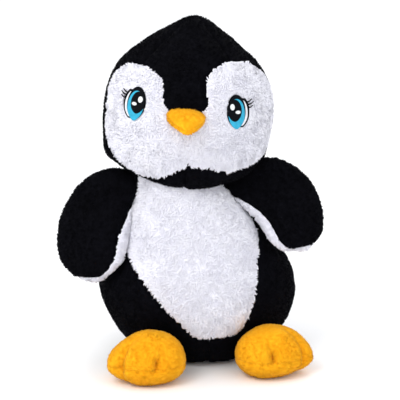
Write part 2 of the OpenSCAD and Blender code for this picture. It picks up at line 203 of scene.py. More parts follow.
def plush(name, dark, light, lock=0.006, patch=0.035, roughness=0.85, sheen=0.05, shine=0.12):
    material, start, feed = new_material(name, roughness, sheen, shine)
    place = start.node("ShaderNodeTexCoord", out=3)
    locks = start.node(
        "ShaderNodeTexNoise", {"noise_dimensions": "3D"}, Vector=place, Scale=1 / lock, Detail=3.0
    )
    sheen_patches = start.node("ShaderNodeTexNoise", Vector=place, Scale=1 / patch, Detail=2.0)
    # Painted shade and sheen: this share runs the colour from the shade between locks to the sheen
    # of each patch
    share = (locks * 0.6 + sheen_patches * 0.4 - 0.3) * 2.4
    share = start.node("ShaderNodeClamp", in_0=share)
    fibres = start.node("ShaderNodeTexNoise", Vector=place, Scale=1400.0, Detail=2.0)
    bump = start.node("ShaderNodeBump", in_0=0.35, in_1=0.0012, in_3=fibres * 0.5 + locks * 0.5)
    feed(Base_Color=blend_colours(start, share, dark, light), Normal=bump)
    return material


# In each plush the first colour is the painted shade and the second the painted sheen
black_plush = plush(
    "black_plush", (0.0006, 0.0006, 0.0012, 1), (0.003, 0.003, 0.005, 1), sheen=0, shine=0.04
)
white_plush = plush("white_plush", (0.87, 0.865, 0.95, 1), (0.95, 0.945, 0.998, 1), roughness=0.9)
orange_plush = plush("orange_plush", (0.9, 0.36, 0.004, 1), (0.98, 0.5, 0.015, 1), lock=0.004)
fibre_fill = plush("fibre_fill", (0.7, 0.7, 0.68, 1), (0.9, 0.9, 0.88, 1), lock=0.01)
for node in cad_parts.values():
    if "stuffing" in node.name:
        node.data.materials.clear()
        node.data.materials.append(fibre_fill)
print("made", len(bpy.data.materials), "materials so far")

# %% [markdown]
# ## Smooth forms from a sewing pattern
# A pattern is a short table: at each height, half the width and half the depth. A smooth curve
# through the rows gives every height between them. The body and the head are lofted this way.

# %% Patterns
NECK = np.array([-9.0, 5.0, 200.0])
HEAD_ROLL = math.radians(4.5)
LEFT_CHEEK = 6.0
HEAD_TURN = math.radians(2)
BODY_TURN = 10.0
BODY_BACK = 13.0
BASE_BACK = 9.0
BODY = np.array([
    [0.6, 47, 41], [6, 66, 56], [29, 91, 72], [52, 105, 80], [80, 113, 84],
    [105, 110, 83], [130, 99, 77], [155, 86, 69], [178, 74, 62], [192, 65.5, 58],
    [200, 60, 57], [210, 55.9, 55.9], [222, 53, 53], [232, 46, 46],
])
HEAD = np.array([
    [214, 61, 60], [219, 73, 68], [230, 82, 75], [255, 91, 82], [288, 94, 84],
    [320, 90, 81], [343, 78, 72], [364, 56, 55], [381, 34, 35], [393, 16, 17], [399, 3, 3],
])


def along(table, x, k):
    """Column k of a pattern at x, on a smooth curve through its rows."""
    x = np.asarray(x, float)
    at, value = table[:, 0], table[:, k]
    steep = np.gradient(value) / np.gradient(at)
    i = np.clip(np.searchsorted(at, x, side="right") - 1, 0, len(at) - 2)
    w = at[i + 1] - at[i]
    t = (x - at[i]) / w
    return (
        (2 * t**3 - 3 * t**2 + 1) * value[i]
        + (t**3 - 2 * t**2 + t) * steep[i] * w
        + (3 * t**2 - 2 * t**3) * value[i + 1]
        + (t**3 - t**2) * steep[i + 1] * w
    )


def body_point(u, z):
    """A point of the body, u degrees round from the front and z up, in millimetres."""
    turn = np.radians(BODY_TURN * (1 - z / 150))
    around = (u + 180) % 360 - 180
    press = np.exp(-((around - 42) / 22) ** 2) + np.exp(-((around + 42) / 22) ** 2)
    press = 1 - 0.17 * press * np.exp(-((z - 26) / 26) ** 2)
    x = along(BODY, z, 1) * press * np.sin(np.radians(u))
    y = -along(BODY, z, 2) * press * np.cos(np.radians(u))
    middle = 12 - 21 * (z / 200) ** 2
    back = BODY_BACK + (NECK[1] - BODY_BACK) * np.minimum(1, z / 200)
    back = back + BASE_BACK * np.maximum(0, 1 - z / 30) ** 2
    return np.stack([
        middle + x * np.cos(turn) - y * np.sin(turn),
        back + x * np.sin(turn) + y * np.cos(turn),
        z + 0 * u,
    ], axis=-1)


def head_local(u, z):
    """A point of the head before it rolls and turns, measured from the neck."""
    side = np.sin(np.radians(u))
    cheek = LEFT_CHEEK * np.maximum(0, -side) * np.exp(-(((z - 230) / 18) ** 2))
    return np.stack([
        along(HEAD, z, 1) * side - cheek,
        -along(HEAD, z, 2) * np.cos(np.radians(u)) - 2,
        z + 11 * side**2 * np.maximum(0, 1 - (z - 214) / 30) - NECK[2],
    ], axis=-1)


HEAD_FRAME = np.array(Matrix.Rotation(HEAD_TURN, 3, "Z") @ Matrix.Rotation(HEAD_ROLL, 3, "Y"))


def head_point(u, z):
    """A point of the head as it sits on the neck, in millimetres."""
    return head_local(u, z) @ HEAD_FRAME.T + NECK


# %% [markdown]
# ## Cutting a form into panels
# Every point of a grid on the form gets the number of the panel that it belongs to. Where the
# number changes there is a seam. The cloth is drawn in along the seams and swells between them,
# which is what stuffing does to a sewn skin. Each panel then becomes its own mesh with its own
# thickness.

# %% Sewing


def outward(points):
    """The way out of a grid of points that closes round its columns."""
    across = np.roll(points, -1, axis=1) - np.roll(points, 1, axis=1)
    up = np.gradient(points, axis=0)
    way = np.cross(across, up)
    return way / np.maximum(np.linalg.norm(way, axis=-1, keepdims=True), 1e-9)


def lumps(points, size, height, seed):
    """A soft uneven field over a grid of points, for stuffing that isn't even."""
    shift = Vector((seed * 7.3, seed * 3.1, seed * 5.7))
    flat = points.reshape(-1, 3) / size
    field = [noise.noise(Vector(p) + shift) for p in flat]
    return height * np.array(field).reshape(points.shape[:2])


def to_mesh(name, points, faces, material, smooth=True):
    """A mesh object from points in millimetres."""
    mesh = bpy.data.meshes.new(name)
    mesh.from_pydata((np.asarray(points) * MM).tolist(), [], np.asarray(faces).tolist())
    mesh.materials.append(material)
    mesh.shade_smooth()
    mesh.update()
    made = bpy.data.objects.new(name, mesh)
    bpy.context.collection.objects.link(made)
    return made


def seam_distance(points, label):
    """How far each grid point is from the nearest seam, in millimetres."""
    right = label != np.roll(label, -1, axis=1)
    above = np.zeros_like(right)
    above[:-1] = label[:-1] != label[1:]
    edge = points[right | above]
    if not len(edge):
        return np.full(label.shape, 99.0)
    tree = KDTree(len(edge))
    for i, p in enumerate(edge):
        tree.insert(p, i)
    tree.balance()
    flat = points.reshape(-1, 3)
    return np.array([tree.find(p)[2] for p in flat]).reshape(label.shape)


def gather(points, row):
    """Draws one end ring of a form together, as a thread through its edge would."""
    middle = points[row].mean(axis=0)
    points[row] = middle + GATHERED * (points[row] - middle)


GATHERED = 0.06


def sew(form, u, z, label_of, seam_dip, seam_width, swell, seed):
    """The stuffed skin: grid points, the panel number of each, and the seam distance."""
    uu, zz = np.meshgrid(u, z)
    points = form(uu, zz)
    label = label_of(uu, zz)
    far = seam_distance(points, label)
    way = outward(points)
    lift = swell * (1 - np.exp(-((far / 22) ** 2))) - seam_dip * np.exp(-((far / seam_width) ** 2))
    lift = lift + lumps(points, 34, 1.5, seed) + lumps(points, 12, 0.5, seed + 1)
    return points + way * lift[..., None], label, far, way


def panels(skin, names):
    """One mesh for each panel of a skin. names gives (name, material) by panel number."""
    points, label, far, way = skin
    rows, cols = label.shape
    index = np.arange(rows * cols).reshape(rows, cols)
    a = index[:-1]
    b = np.roll(index, -1, axis=1)[:-1]
    c = np.roll(index, -1, axis=1)[1:]
    d = index[1:]
    quads = np.stack([a, b, c, d], axis=-1).reshape(-1, 4)
    owner = label[:-1].reshape(-1)
    flat = points.reshape(-1, 3)
    made = {}
    for number, (name, material) in names.items():
        mine = quads[owner == number]
        used, inverse = np.unique(mine, return_inverse=True)
        piece = to_mesh(name, flat[used], inverse.reshape(-1, 4), material)
        made[name] = piece
    return made


def close(piece, depth):
    """Gives a panel the thickness of its backing, inwards."""
    shell = piece.modifiers.new("backing", "SOLIDIFY")
    shell.thickness = depth * MM
    shell.offset = -1


def stands_for(piece, body_name, node):
    """Says which body a piece moves with and which node it replaces."""
    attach(piece, body_name)
    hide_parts(node)


def sewn_panels(skin, parts, body_name, backing):
    """The panels of a skin as padded pieces. parts gives (name, node, material) by number."""
    made = panels(skin, {i: (name, cloth) for i, (name, node, cloth) in parts.items()})
    for name, node, cloth in parts.values():
        if backing:
            close(made[name], backing)
        stands_for(made[name], body_name, node)
        print(name, len(made[name].data.polygons), "faces")
    return made


# %% [markdown]
# ## The body
# A white belly panel is let into two black front panels, and two black back panels meet in the
# closing seam. The belly's outline is a kite: widest across the chest and drawn to a blunt point
# between the feet.

# %% Body panels
BELLY = np.array([
    [40, 10], [45, 16], [54, 19], [80, 27], [115, 39], [140, 53], [160, 66], [176, 68],
    [195, 63], [210, 57], [232, 52],
])


# Degrees that the belly's point and its top lie to one side
BELLY_LEAN = 5.0


def body_label(u, z):
    around = (u + 180) % 360 - 180
    middle = BELLY_LEAN * (np.clip((120 - z) / 60, 0, 1) + np.clip((z - 180) / 15, 0, 1))
    inside = (np.abs(around - middle) < along(BELLY, np.maximum(z, 40), 1)) & (z > 42)
    front = np.where(around < 0, 1, 2)
    back = np.where(around < 0, 3, 4)
    return np.where(inside, 0, np.where(np.abs(around) < 90, front, back))


body_u = np.arange(0, 360, 1.25)
body_z = np.concatenate([np.linspace(0.6, 10, 9), np.arange(12, 232, 1.9)])
body_skin = sew(body_point, body_u, body_z, body_label, 1.9, 3.0, 2.2, 1)
BODY_PARTS = {
    0: ("belly", "belly_panel", white_plush),
    1: ("front_left", "body_front_left", black_plush),
    2: ("front_right", "body_front_right", black_plush),
    3: ("back_left", "body_back_left", black_plush),
    4: ("back_right", "body_back_right", black_plush),
}
body = sewn_panels(body_skin, BODY_PARTS, "torso", 2)

# %% [markdown]
# ## The head
# Two white face panels are let into black side, back, chin and forehead panels. Each face panel is
# a rounded lobe, and the two meet in a crease under the beak.

# %% Head panels
# One lobe of the face: degrees round from the front, height. A smooth closed curve joins them.
LOBE = np.array([
    [0, 300], [10, 303], [15.5, 312], [16, 328], [18, 342], [27, 352], [42, 357.5], [58, 356],
    [70, 348], [77, 332], [78, 310], [78, 285], [74, 264], [64, 248], [51, 239], [38, 233],
    [24, 234], [11, 240], [0, 247.5], [-1, 274],
], float)


def closed_curve(corners, steps=12):
    """A smooth closed curve through the corners."""
    made = []
    count = len(corners)
    for i in range(count):
        p0, p1, p2, p3 = (corners[(i + k - 1) % count] for k in range(4))
        for t in np.arange(steps) / steps:
            made.append(0.5 * (
                2 * p1 + (p2 - p0) * t + (2 * p0 - 5 * p1 + 4 * p2 - p3) * t**2
                + (3 * p1 - p0 - 3 * p2 + p3) * t**3
            ))
    return np.array(made)


def is_inside(curve, x, y):
    """Which points (x, y) lie inside a closed curve."""
    inside = np.zeros(x.shape, bool)
    for (x1, y1), (x2, y2) in zip(curve, np.roll(curve, -1, axis=0)):
        crosses = (y1 > y) != (y2 > y)
        if crosses.any():
            inside ^= crosses & (x < (x2 - x1) * (y - y1) / (y2 - y1 + 1e-12) + x1)
    return inside


lobe_curve = closed_curve(LOBE)


# The face leans a little to one side going up: degrees by height
FACE_LEAN = 6.5
# How far each lobe stretches above and below its middle, as shares
LOBE_MIDDLE = 295
LOBE_UP = {-1: 0.81, 1: 0.98}
LOBE_DOWN = {-1: 1.18, 1: 0.95}
LOBE_WIDE = {-1: 1.0, 1: 1.25}
LOBE_BLEND = 16


def face_lean(z):
    """Degrees that the middle of the face lies to the left at a height."""
    t = np.clip((np.asarray(z, float) - 262) / 72, 0, 1)
    return FACE_LEAN * t * t * (3 - 2 * t)


def face_shift(z):
    """The same lean in millimetres to the right, at the front of the face."""
    return -math.radians(float(face_lean(z))) * 84


def face_inside(around, z):
    """Which points belong to the white lobes."""
    left = around < 0
    share = np.clip(around / LOBE_BLEND, -1, 1) / 2 + 0.5
    up = np.where(left, LOBE_UP[-1], LOBE_UP[1])
    down = LOBE_DOWN[-1] + (LOBE_DOWN[1] - LOBE_DOWN[-1]) * share
    wide = np.where(left, LOBE_WIDE[-1], LOBE_WIDE[1])
    across = np.abs(around)
    across = np.minimum(across, 40) + np.maximum(across - 40, 0) / wide
    high = LOBE_MIDDLE + (z - LOBE_MIDDLE) / np.where(z > LOBE_MIDDLE, up, down)
    return is_inside(lobe_curve, across, high)


def head_label(u, z):
    around = (u + 180) % 360 - 180
    around = around + face_lean(z) * np.clip(1.6 - np.abs(around) / 60, 0, 1)
    face = face_inside(around, z)
    left = around < 0
    label = np.where(np.abs(around) < 118, np.where(left, 5, 6), np.where(left, 7, 8))
    label = np.where((z < 262) & (np.abs(around) < 72), np.where(left, 3, 4), label)
    label = np.where((z > 285) & (np.abs(around) < 46), 2, label)
    return np.where(face, np.where(left, 0, 1), label)


head_u = np.arange(0, 360, 1.25)
head_z = 214 + 185 * np.sin(np.linspace(0, math.pi / 2, 130)) ** 1.15
head_skin = sew(head_point, head_u, head_z, head_label, 1.8, 3.0, 2.0, 5)
gather(head_skin[0], -1)
HEAD_PARTS = {
    0: ("face_left", "face_panel_left", white_plush),
    1: ("face_right", "face_panel_right", white_plush),
    2: ("forehead", "forehead_panel", black_plush),
    3: ("chin_left", "chin_panel_left", black_plush),
    4: ("chin_right", "chin_panel_right", black_plush),
    5: ("side_left", "head_side_left", black_plush),
    6: ("side_right", "head_side_right", black_plush),
    7: ("crown_left", "head_back_left", black_plush),
    8: ("crown_right", "head_back_right", black_plush),
}
head = sewn_panels(head_skin, HEAD_PARTS, "head", 2)

# %% [markdown]
# ## Setting a sewn form on the toy
# The flippers, the feet, the beak and the tail are each lofted about their own middle line and then
# turned into place, where the frame's joints are. Each one is two panels with a seam between them.

# %% Placing and sewing a small part


def turned(points, axis, degrees):
    """Points turned about an axis through the origin."""
    return points @ np.array(Matrix.Rotation(math.radians(degrees), 3, axis)).T


def on_body(points):
    """From the lower body's own frame to the toy's."""
    return turned(points, "Z", BODY_TURN) + np.array([12.0, BODY_BACK, 0.0])


def sewn_pair(form, u, v, label_of, parts, body_name, dip, width, swell, seed, wad):
    """Two panels sewn into one stuffed form, and the wad of fibre inside it.

    parts is (name, node, material) by panel, and wad is the wad's name and its node.
    """
    skin = sew(form, u, v, label_of, dip, width, swell, seed)
    points, label, far, way = skin
    points[..., 2] = np.maximum(points[..., 2], FLOOR_GAP)
    gather(points, 0)
    gather(points, -1)
    inner = form(*np.meshgrid(u, v)) - way * FILL_DEPTH
    inner[..., 2] = np.maximum(inner[..., 2], FLOOR_GAP + 3)
    inner += way * lumps(inner, 7, 0.8, seed + 2)[..., None]
    stuffing = panels((inner, 0 * label, far, way), {0: (wad[0], fibre_fill)})[wad[0]]
    stands_for(stuffing, body_name, wad[1])
    return sewn_panels(skin, dict(enumerate(parts)), body_name, 1.5)


FLOOR_GAP = 0.5
FILL_DEPTH = 4.0
ROUND = np.arange(0, 360, 3.0)
small_parts = {}

# %% [markdown]
# ## Flippers
# A flipper is a curved paddle, black outside and white inside. The white cloth is cut a little
# larger, so its edge rolls out past the black along the inner side and round the tip. The root
# is tucked into the shoulder, which hides the seam when the flipper swings.

# %% Flippers
# The middle line of each flipper from root to tip, seen from the front: across, height, half the
# width and half the thickness, in millimetres
FLIPPER_LINE = {
    -1: np.array([
        [-57, 201, 13, 8], [-66, 202, 23, 12], [-81, 197, 33, 14.5], [-96, 184, 40, 15.5],
        [-107, 166, 43, 16], [-112, 147, 43, 15.5], [-114, 129, 40, 14], [-113, 115, 30, 11],
        [-112, 106, 15, 7], [-112, 103, 1, 1],
    ]),
    1: np.array([
        [45, 202, 13, 8], [56, 206, 22, 12], [72, 207, 31, 14.5], [91, 202, 37, 15.5],
        [107, 190, 39, 16], [117, 174, 38, 15.5], [122, 158, 35, 14], [124, 146, 27, 11],
        [125, 139, 14, 7], [125, 136.5, 1, 1],
    ]),
}
FLIPPER_TWIST = 30.0
FLIPPER_FRONT = -14.0
FLIPPER_SWING = 0.26
SQUARE = 0.85


def squared(x):
    """A sine or cosine, pushed towards a section with fuller corners."""
    return np.sign(x) * np.abs(x) ** SQUARE


def flipper_form(side):
    line = FLIPPER_LINE[side]
    steps = np.linspace(0, 1, len(line))
    table = np.column_stack([steps, line])

    def form(u, t):
        w = np.radians(u) * side
        x, z, half, thick = (along(table, t, k) for k in (1, 2, 3, 4))
        ahead, behind = np.minimum(t + 0.02, 1), np.maximum(t - 0.02, 0)
        run_x = along(table, ahead, 1) - along(table, behind, 1)
        run_z = along(table, ahead, 2) - along(table, behind, 2)
        run = np.hypot(run_x, run_z)
        out_x, out_z = -run_z / run * side, run_x / run * side
        twist = math.radians(FLIPPER_TWIST)
        wide = squared(np.sin(w)) * half
        deep = -squared(np.cos(w)) * thick
        flat = wide * math.cos(twist) - deep * math.sin(twist)
        y = wide * math.sin(twist) + deep * math.cos(twist)
        middle = FLIPPER_FRONT - FLIPPER_SWING * np.maximum(0, 200 - z)
        return np.stack([x + out_x * flat, middle + y, z + out_z * flat], axis=-1)

    return form


def flipper_label(side):
    def label(u, t):
        w = ((u + 180) % 360 - 180) * side
        black = (w > -66) & (w < 94) & (t < 0.89)
        return np.where(black, 0, 1)

    return label


flipper_t = np.concatenate([np.linspace(1.0, 0.92, 14), np.arange(0.905, 0, -0.015), [0]])
for side, word in ((-1, "left"), (1, "right")):
    names = [
        (f"flipper_{word}_outside", f"flipper_outer_{word}", black_plush),
        (f"flipper_{word}_inside", f"flipper_inner_{word}", white_plush),
    ]
    small_parts.update(sewn_pair(
        flipper_form(side), ROUND, flipper_t, flipper_label(side), names, f"{word}_flipper",
        1.8, 3.0, 1.0, 20 + side,
        (f"flipper_{word}_fill", f"flipper_stuffing_{word}"),
    ))
print("flippers sewn")

# %% [markdown]
# ## Feet
# Each foot is a plump pad. After stuffing, a strong thread is pulled through it at two places on
# the front seam, which parts it into toes: a deep cleft beside the outer toe, and a dimple nearer
# the middle with creases running out of it.

# %% Feet
FOOT_WIDTH = 86.0
FOOT_LENGTH = 71.0
FOOT_HEIGHT = 57.0
FOOT_SEAM = 22.0
ANKLE = np.array([63.5, -55.0, 0.0])
FOOT_SHIFT = -5.0
FOOT_SPLAY = 12.0


def bell(x, middle, reach):
    return np.exp(-(((x - middle) / reach) ** 2))


def foot_form(side):
    def form(u, v):
        around = ((u + 180) % 360 - 180) * side
        a = np.radians(u)
        b = np.radians(v)
        toe = np.cos(a)
        flat = np.cos(b) ** 0.8
        cleft = 0.24 * bell(around, 42, 6) * bell(v, 0, 44)
        cleft = cleft + 0.22 * bell(around, -18, 8) * bell(v, 10, 13)
        cleft = cleft + 0.08 * bell(around, -18 - 0.3 * (v - 10), 5) * bell(v, 18, 30)
        swell = 1 - cleft + 0.1 * bell(around, 62, 15) * bell(v, -8, 30)
        half = FOOT_WIDTH / 2 * (1.0 + 0.06 * toe)
        x = half * np.sin(a) * flat * swell
        y = -FOOT_LENGTH / 2 * (1 + toe * flat * swell)
        outer = np.maximum(0, np.sin(np.radians(around)))
        crest = FOOT_HEIGHT - FOOT_SEAM - (3 * (1 - toe) + 8 * outer) * flat
        rise = np.where(v > 0, crest, FOOT_SEAM) * np.sin(b)
        z = FOOT_SEAM + np.sign(rise) * np.abs(rise) * (1 - 0.12 * bell(around, 40, 16) * flat)
        p = np.stack([x, y, np.maximum(z, FLOOR_GAP)], axis=-1)
        p = turned(p, "Z", side * FOOT_SPLAY)
        return on_body(p + np.array([side * ANKLE[0] + FOOT_SHIFT, ANKLE[1], 0]))

    return form


foot_v = np.concatenate([[-89], np.arange(-86, 88, 2.5), [89]])
for side, word in ((-1, "left"), (1, "right")):
    names = [
        (f"foot_{word}_upper", f"foot_top_{word}", orange_plush),
        (f"foot_{word}_under", f"foot_sole_{word}", orange_plush),
    ]
    small_parts.update(sewn_pair(
        foot_form(side), np.arange(0, 360, 2.0), foot_v, lambda u, v: np.where(v > 0, 0, 1), names,
        f"{word}_foot", 0.7, 2.2, 0.8, 30 + side,
        (f"foot_{word}_fill", f"foot_stuffing_{word}"),
    ))
print("feet sewn")

# %% [markdown]
# ## Beak and tail
# The beak is a small hooked cone of the same orange plush, broad at the root and drooping to a
# blunt tip. The tail is a flat black wedge low on the back.

# %% Beak and tail
# Share of the reach, half the width, half the height, drop of the middle line
BEAK = np.array([
    [0, 21.5, 9, 0], [0.2, 21, 9.5, 0.5], [0.45, 18.5, 9.5, 2.2], [0.7, 13.5, 8.5, 5],
    [0.88, 8.5, 6.5, 8], [0.97, 4, 3.6, 10], [1.0, 0.4, 0.4, 11],
])
BEAK_AT = np.array([0.0, -82.0, 298.0])
BEAK_REACH = 29.0


def in_head(points):
    """From the head as sewn to the head as it sits on the neck."""
    return points @ HEAD_FRAME.T + NECK


def beak_form(u, t):
    w = np.radians(u)
    x = -np.sin(w) * along(BEAK, t, 1)
    z = np.sign(np.cos(w)) * np.abs(np.cos(w)) ** 0.8 * along(BEAK, t, 2) - along(BEAK, t, 3)
    y = BEAK_AT[1] - t * BEAK_REACH
    p = np.stack([x + face_shift(BEAK_AT[2]), y, z + BEAK_AT[2] - NECK[2]], axis=-1)
    return in_head(p)


# Share of the length, half the width, half the thickness
TAIL = np.array([
    [-0.1, 16, 6.5], [0, 18, 8], [0.2, 20, 9.5], [0.45, 20, 9], [0.75, 15, 7],
    [0.93, 9, 5], [1, 0.5, 0.5],
])


TAIL_ROOT = 79
TAIL_HEIGHT = 34
TAIL_LENGTH = 36
TAIL_TILT = math.radians(22)


def tail_form(u, t):
    w = np.radians(u)
    x = np.sin(w) * along(TAIL, t, 1)
    up = np.cos(w) * along(TAIL, t, 2)
    y = TAIL_ROOT + t * TAIL_LENGTH * math.cos(TAIL_TILT) - up * math.sin(TAIL_TILT)
    z = TAIL_HEIGHT + t * TAIL_LENGTH * math.sin(TAIL_TILT) + up * math.cos(TAIL_TILT)
    return on_body(np.stack([x, y, z], axis=-1))


def half_label(u, t):
    return np.where(np.abs((u + 180) % 360 - 180) < 96, 0, 1)


beak_names = [
    ("beak_top", "beak_upper", orange_plush), ("beak_underside", "beak_lower", orange_plush),
]
small_parts.update(sewn_pair(
    beak_form, ROUND, np.linspace(0, 1, 36), half_label, beak_names, "head",
    0.8, 1.6, 0.4, 41, ("beak_fill", "beak_stuffing"),
))
tail_names = [
    ("tail_top", "tail_upper", black_plush), ("tail_underside", "tail_lower", black_plush),
]
small_parts.update(sewn_pair(
    tail_form, ROUND, np.linspace(-0.1, 1, 34), half_label, tail_names, "tail",
    1.2, 2.4, 0.6, 43, ("tail_fill", "tail_stuffing"),
))
print("beak and tail sewn")

# %% [markdown]
# ## The base
# One oval of black plush closes the body underneath. Its rim is drawn in by the seam and it is
# nearly flat, because the toy sits on it.

# %% Base


def base_point(u, r):
    a = np.radians(u)
    edge = 1 - 0.05 * r**6
    x = 46 * r * edge * np.sin(a)
    y = 9 + 40 * r * edge * -np.cos(a)
    return on_body(np.stack([x, y, FLOOR_GAP + 2.2 * r**8], axis=-1))


base_r = np.linspace(0.02, 1.0, 24)
base_skin = sew(base_point, ROUND, base_r, lambda u, r: 0 * u.astype(int), 0, 1, 0, 51)
base_skin[0][..., 2] = np.maximum(base_skin[0][..., 2], FLOOR_GAP)
base = sewn_panels(base_skin, {0: ("base", "base_panel", black_plush)}, "torso", 0)

# %% [markdown]
# ## Embroidered eyes
# Each eye is satin stitch: long threads laid side by side across a shape, one colour over another,
# so the patch stands a little proud and shines along the threads. Every layer here is a closed
# patch between a left and a right edge, and its face is ridged, one ridge to a thread. The layers
# are, from the cloth outwards: the black rim, the white, the black line round the iris, the blue
# iris, the pupil, and two highlights.

# %% Thread materials


def satin_thread(name, colour, roughness, pitch=2600.0, shine=0.35):
    """Embroidery thread: smooth, with fine twisted fibres that catch the light."""
    material, start, feed = new_material(name, roughness, 0.0, shine)
    place = start.node("ShaderNodeTexCoord", out=3)
    fibres = start.node("ShaderNodeTexNoise", Vector=place, Scale=pitch, Detail=1.0)
    tone = start.node("ShaderNodeTexNoise", Vector=place, Scale=260.0, Detail=1.0)
    dark = tuple(c * 0.78 for c in colour[:3]) + (1,)
    bump = start.node("ShaderNodeBump", in_0=0.25, in_1=0.0003, in_3=fibres)
    share = start.node("ShaderNodeClamp", in_0=(tone - 0.3) * 2.2)
    feed(Base_Color=blend_colours(start, share, dark, colour), Normal=bump)
    return material


black_embroidery = satin_thread("black_embroidery", (0.003, 0.0035, 0.006, 1), 0.6, shine=0.06)
white_embroidery = satin_thread("white_embroidery", (0.86, 0.87, 0.9, 1), 0.45)
blue_embroidery = satin_thread("blue_embroidery", (0.02, 0.42, 0.65, 1), 0.42)
orange_thread = satin_thread("orange_thread", (0.75, 0.25, 0.01, 1), 0.55)
black_thread = satin_thread("black_thread", (0.005, 0.005, 0.007, 1), 0.5)
white_satin = satin_thread("white_satin", (0.82, 0.82, 0.84, 1), 0.35, 4000.0)

# %% Eye shapes
EYE_HEIGHT = 306.0
EYE_AT = {-1: 41.5, 1: 33.0}
EYE_SLANT = {-1: 1.12, 1: 1.08}
THREAD_PITCH = 0.62
PATCH_ROW = 0.155
EYE_LIFT = 0.9
LASH_TIP = 3.0


def oval(middle_a, middle_b, half_a, half_b, point=0.0):
    """The two edges of an oval at each height, drawn to a point below by point."""

    def edges(b):
        s = np.clip((b - middle_b) / half_b, -1, 1)
        wide = half_a * np.sqrt(1 - s * s) * (1 - point * np.maximum(0, -s) ** 3)
        return middle_a - wide, middle_a + wide

    return edges, middle_b - half_b, middle_b + half_b


def crescent(outer, inner, low, high):
    """The part of one oval that lies outside another, on the outer side of the face."""

    def edges(b):
        far = outer[0](b)[1]
        near = np.minimum(inner[0](b)[1] - 1.5, far)
        return near, far

    return edges, low, high


RIM = oval(-0.3, -0.6, 13.0, 18.4, 0.12)
WHITE = oval(-0.8, -1.4, 11.0, 16.2, 0.15)
IRIS_LINE = oval(-2.6, -0.2, 9.9, 18.0, 0.3)
IRIS = oval(-2.5, -2.6, 8.6, 16.0, 0.3)
PUPIL = oval(-4.8, 1.2, 7.1, 11.6, 0.1)
EYE_LAYERS = [
    ("rim", crescent(RIM, IRIS_LINE, -17.0, 14.0), black_embroidery, 0.0),
    ("white", crescent(WHITE, IRIS_LINE, -15.2, 11.5), white_embroidery, 0.45),
    ("line", IRIS_LINE, black_embroidery, 0.9),
    ("iris", IRIS, blue_embroidery, 1.3),
    ("pupil", PUPIL, black_embroidery, 1.75),
]
HIGHLIGHTS = [oval(-7.4, 5.0, 2.3, 3.3), oval(-1.9, -0.4, 2.7, 1.8)]
LASHES = [
    [(8.6, 9.6), (11.2, 10.6), (13.6, 12.8)],
    [(9.6, 7.2), (12.6, 7.8), (15.4, 10.2)],
    [(10.4, 4.2), (12.6, 4.4), (14.6, 6.2)],
]


def face_way(side, a, b):
    """A point of the head's pattern and the way out of it: a mm outwards and b mm up."""
    a, b = np.asarray(a, float), np.asarray(b, float)
    u = side * (EYE_AT[side] + np.degrees(a * EYE_SLANT[side] / 84))
    z = EYE_HEIGHT + b + 0 * a
    step = 0.2
    p = head_point(u, z)
    way = np.cross(head_point(u + step, z) - p, head_point(u, z + step) - p)
    return p, way / np.linalg.norm(way, axis=-1, keepdims=True)


def cloth_height(side):
    """How far the stuffed cloth stands off the pattern round an eye, on a soft grid."""
    face = head["face_left" if side < 0 else "face_right"].data
    tree = BVHTree.FromPolygons(
        [v.co / MM for v in face.vertices], [tuple(p.vertices) for p in face.polygons]
    )
    aa, bb = np.meshgrid(EYE_GRID, EYE_GRID)
    place, way = face_way(side, aa, bb)
    height = np.zeros(aa.shape)
    for at in np.ndindex(aa.shape):
        hit = tree.ray_cast(Vector(place[at] + 20 * way[at]), Vector(-way[at]))
        height[at] = 20 - hit[3] if hit[0] else 0
    for _ in range(2):
        wide = np.pad(height, 1, mode="edge")
        near = [wide[i : i + len(height), j : j + len(height)] for i in range(3) for j in range(3)]
        height = np.maximum(height, np.mean(near, axis=0))
    return height


EYE_GRID = np.arange(-24, 24.1, 1.5)
EYE_CLOTH = {side: cloth_height(side) for side in (-1, 1)}


def on_eye(side, a, b, lift):
    """A point of the face: a mm outwards from the eye's middle, b mm up, lift mm off the cloth."""
    p, way = face_way(side, a, b)
    i, j = ((np.asarray(c, float) + 0 * p[..., 0] - EYE_GRID[0]) / 1.5 for c in (b, a))
    i0, j0 = (np.clip(c.astype(int), 0, len(EYE_GRID) - 2) for c in (i, j))
    i, j = i - i0, j - j0
    cloth = EYE_CLOTH[side]
    off = (cloth[i0, j0] * (1 - i) + cloth[i0 + 1, j0] * i) * (1 - j)
    off = off + (cloth[i0, j0 + 1] * (1 - i) + cloth[i0 + 1, j0 + 1] * i) * j
    return p + way * (EYE_LIFT + off + np.asarray(lift))[..., None]


def satin_patch(name, side, shape, material, lift, cols=14):
    """A closed patch of satin stitch between the two edges of a shape."""
    edges, low, high = shape
    b = np.arange(low + 0.02, high, PATCH_ROW)
    near, far = edges(b)
    share = np.linspace(0, 1, cols + 1)
    a = near[:, None] + (far - near)[:, None] * share[None, :]
    bb = np.repeat(b[:, None], cols + 1, axis=1)
    edge = np.sin(np.pi * share)[None, :] ** 0.35
    ridge = 0.16 * np.abs(np.sin(np.pi * (bb + 0.25 * a) / THREAD_PITCH))
    front = on_eye(side, a, bb, lift + 0.35 * edge + ridge * edge)
    back = on_eye(side, a, bb, lift - 0.6 + 0 * a)
    rows = len(b)
    index = np.arange(rows * (cols + 1)).reshape(rows, cols + 1)
    count = index.size
    corners = [index[:-1, :-1], index[:-1, 1:], index[1:, 1:], index[1:, :-1]]
    quads = np.stack(corners, -1).reshape(-1, 4)
    rim = np.concatenate([index[0, :], index[1:, -1], index[-1, -2::-1], index[-2:0:-1, 0]])
    wall = np.stack([rim, rim + count, np.roll(rim, -1) + count, np.roll(rim, -1)], -1)
    faces = np.concatenate([quads, quads[:, ::-1] + count, wall])
    if side < 0:
        faces = faces[:, ::-1]
    points = np.concatenate([front.reshape(-1, 3), back.reshape(-1, 3)])
    return to_mesh(name, points, faces, material)


